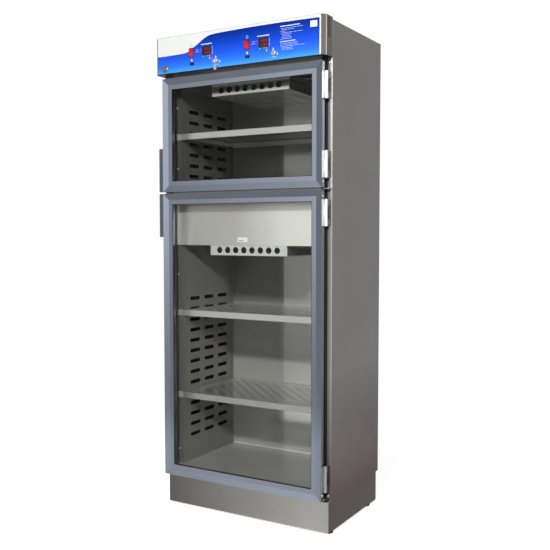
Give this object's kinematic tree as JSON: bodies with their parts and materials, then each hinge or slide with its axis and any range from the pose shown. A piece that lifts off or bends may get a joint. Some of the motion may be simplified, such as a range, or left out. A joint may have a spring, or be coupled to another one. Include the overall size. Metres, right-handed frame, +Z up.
{
  "type": "blanket warming cabinet",
  "caption": "Tall two-chamber blanket warming cabinet with glazed hinged doors, slotted air baffles, perforated shelves and a front control console.",
  "frame": {"origin": "centre of the bounding box's footprint, on the floor under the feet", "axes": "+Z up, -Y towards the front with the doors, +X towards the door hinges"},
  "size_m": [0.762, 0.5342, 1.905],
  "materials": {
    "cabinet_steel": "satin stainless sheet, fine vertical grain",
    "liner_steel": "satin stainless chamber sheet",
    "shelf_steel": "bright satin stainless",
    "wall_insulation": "compressed mineral wool slab",
    "clip_plastic": "dark moulded nylon",
    "foot_rubber": "moulded black rubber",
    "element_sheath": "heat-tinted sheath",
    "console_shell": "satin stainless sheet, grain along the console",
    "overlay_film": "printed polyester film, blue fading to light blue",
    "controller_plastic": "black moulded case with a dark display window",
    "switch_black": "black moulded switch body",
    "switch_red": "red translucent rocker",
    "button_green": "green moulded cap",
    "button_teal": "blue-green moulded cap",
    "button_orange": "orange moulded cap",
    "lamp_lens": "translucent lens",
    "switch_metal": "plated turned metal",
    "lock_bronze": "dark bronze plate",
    "lock_plug": "grey plug and cam",
    "inlet_black": "black moulded inlet",
    "hinge_steel": "polished stainless",
    "screw_steel": "plain stainless",
    "impeller_steel": "zinc-plated pressed sheet",
    "door_aluminium": "clear anodised extrusion, satin",
    "handle_aluminium": "clear anodised extrusion, satin",
    "door_glass": "clear float glass, two panes",
    "gasket_rubber": "black extruded rubber"
  },
  "bodies": {
    "cabinet": {"side_panel_left": "cabinet_steel", "side_panel_right": "cabinet_steel", "back_panel": "cabinet_steel", "top_panel": "cabinet_steel", "base_pan": "cabinet_steel", "front_rails": "cabinet_steel", "plinth": "cabinet_steel", "rubber_feet": "foot_rubber", "lower_liner": "liner_steel", "upper_liner": "liner_steel", "insulation": "wall_insulation", "air_baffles": "liner_steel", "shelf_rails": "shelf_steel", "shelf_clips": "clip_plastic", "upper_shelf": "shelf_steel", "lower_shelf_high": "shelf_steel", "lower_shelf_low": "shelf_steel", "valance_panel": "liner_steel", "module_trays": "liner_steel", "air_ducts": "liner_steel", "blowers": "liner_steel", "heating_elements": "element_sheath", "console_housing": "console_shell", "control_overlay": "overlay_film", "controllers": "controller_plastic", "rocker_housings": "switch_black", "key_barrels": "switch_metal", "lock_barrel": "lock_bronze", "power_inlet": "inlet_black", "body_hinge_halves": "hinge_steel", "chamber_lamps": "lamp_lens", "assembly_screws": "screw_steel", "indicator_lamps": "lamp_lens"},
    "upper_door": {"upper_door_frame": "door_aluminium", "upper_door_glass": "door_glass", "upper_door_gasket": "gasket_rubber", "upper_door_handle": "handle_aluminium", "upper_door_hinge_leaves": "hinge_steel"},
    "lower_door": {"lower_door_frame": "door_aluminium", "lower_door_glass": "door_glass", "lower_door_gasket": "gasket_rubber", "lower_door_handle": "handle_aluminium", "lower_door_hinge_leaves": "hinge_steel"},
    "upper_impeller": {"upper_impeller": "impeller_steel"},
    "lower_impeller": {"lower_impeller": "impeller_steel"},
    "left_power_rocker": {"left_power_rocker": "switch_red"},
    "left_light_rocker": {"left_light_rocker": "switch_black"},
    "right_power_rocker": {"right_power_rocker": "switch_red"},
    "right_light_rocker": {"right_light_rocker": "switch_black"},
    "left_start_button": {"left_start_button": "button_green"},
    "left_down_button": {"left_down_button": "button_teal"},
    "left_up_button": {"left_up_button": "button_orange"},
    "right_start_button": {"right_start_button": "button_green"},
    "right_down_button": {"right_down_button": "button_teal"},
    "right_up_button": {"right_up_button": "button_orange"},
    "left_tumbler": {"left_key_tumbler": "switch_metal", "console_key": "switch_metal"},
    "right_tumbler": {"right_key_tumbler": "switch_metal"},
    "key_tag": {"key_tag": "switch_metal"},
    "lock_cam": {"lock_cam": "lock_plug"}
  },
  "joints": [
    {"name": "upper_door_swing", "type": "hinge", "parent": "cabinet", "child": "upper_door", "pos_m": [0.369, -0.2041, 0], "axis": [0, 0, 1], "range_deg": [0, 110]},
    {"name": "lower_door_swing", "type": "hinge", "parent": "cabinet", "child": "lower_door", "pos_m": [0.369, -0.2041, 0], "axis": [0, 0, 1], "range_deg": [0, 110]},
    {"name": "upper_impeller_spin", "type": "hinge", "parent": "cabinet", "child": "upper_impeller", "pos_m": [0, 0.0839, 0], "axis": [0, 0, 1], "continuous": true},
    {"name": "lower_impeller_spin", "type": "hinge", "parent": "cabinet", "child": "lower_impeller", "pos_m": [0, 0.0839, 0], "axis": [0, 0, 1], "continuous": true},
    {"name": "left_power_rock", "type": "hinge", "parent": "cabinet", "child": "left_power_rocker", "pos_m": [-0.2004, -0.2391, 1.8322], "axis": [-1, 0, 0], "range_deg": [0, 16]},
    {"name": "left_light_rock", "type": "hinge", "parent": "cabinet", "child": "left_light_rocker", "pos_m": [-0.1978, -0.2391, 1.7882], "axis": [0, 0, 1], "range_deg": [0, 16]},
    {"name": "right_power_rock", "type": "hinge", "parent": "cabinet", "child": "right_power_rocker", "pos_m": [0.0548, -0.2391, 1.8322], "axis": [-1, 0, 0], "range_deg": [0, 16]},
    {"name": "right_light_rock", "type": "hinge", "parent": "cabinet", "child": "right_light_rocker", "pos_m": [0.0574, -0.2391, 1.7882], "axis": [0, 0, 1], "range_deg": [0, 16]},
    {"name": "left_start_press", "type": "slide", "parent": "cabinet", "child": "left_start_button", "axis": [0, 1, 0], "range_m": [0, 0.0012], "stiffness_N_per_m": 400, "springref_m": -0.0005},
    {"name": "left_down_press", "type": "slide", "parent": "cabinet", "child": "left_down_button", "axis": [0, 1, 0], "range_m": [0, 0.0012], "stiffness_N_per_m": 400, "springref_m": -0.0005},
    {"name": "left_up_press", "type": "slide", "parent": "cabinet", "child": "left_up_button", "axis": [0, 1, 0], "range_m": [0, 0.0012], "stiffness_N_per_m": 400, "springref_m": -0.0005},
    {"name": "right_start_press", "type": "slide", "parent": "cabinet", "child": "right_start_button", "axis": [0, 1, 0], "range_m": [0, 0.0012], "stiffness_N_per_m": 400, "springref_m": -0.0005},
    {"name": "right_down_press", "type": "slide", "parent": "cabinet", "child": "right_down_button", "axis": [0, 1, 0], "range_m": [0, 0.0012], "stiffness_N_per_m": 400, "springref_m": -0.0005},
    {"name": "right_up_press", "type": "slide", "parent": "cabinet", "child": "right_up_button", "axis": [0, 1, 0], "range_m": [0, 0.0012], "stiffness_N_per_m": 400, "springref_m": -0.0005},
    {"name": "left_key_turn", "type": "hinge", "parent": "cabinet", "child": "left_tumbler", "pos_m": [-0.085, -0.2431, 1.789], "axis": [0, 1, 0], "range_deg": [0, 90]},
    {"name": "right_key_turn", "type": "hinge", "parent": "cabinet", "child": "right_tumbler", "pos_m": [0.1702, -0.2431, 1.789], "axis": [0, 1, 0], "range_deg": [0, 90]},
    {"name": "key_tag_swing", "type": "hinge", "parent": "cabinet", "child": "key_tag", "pos_m": [-0.085, -0.2431, 1.789], "axis": [0, 1, 0], "range_deg": [-20, 20]},
    {"name": "cam_lock_turn", "type": "hinge", "parent": "cabinet", "child": "lock_cam", "pos_m": [-0.329, -0.2431, 1.781], "axis": [0, 1, 0], "range_deg": [0, 90]}
  ]
}
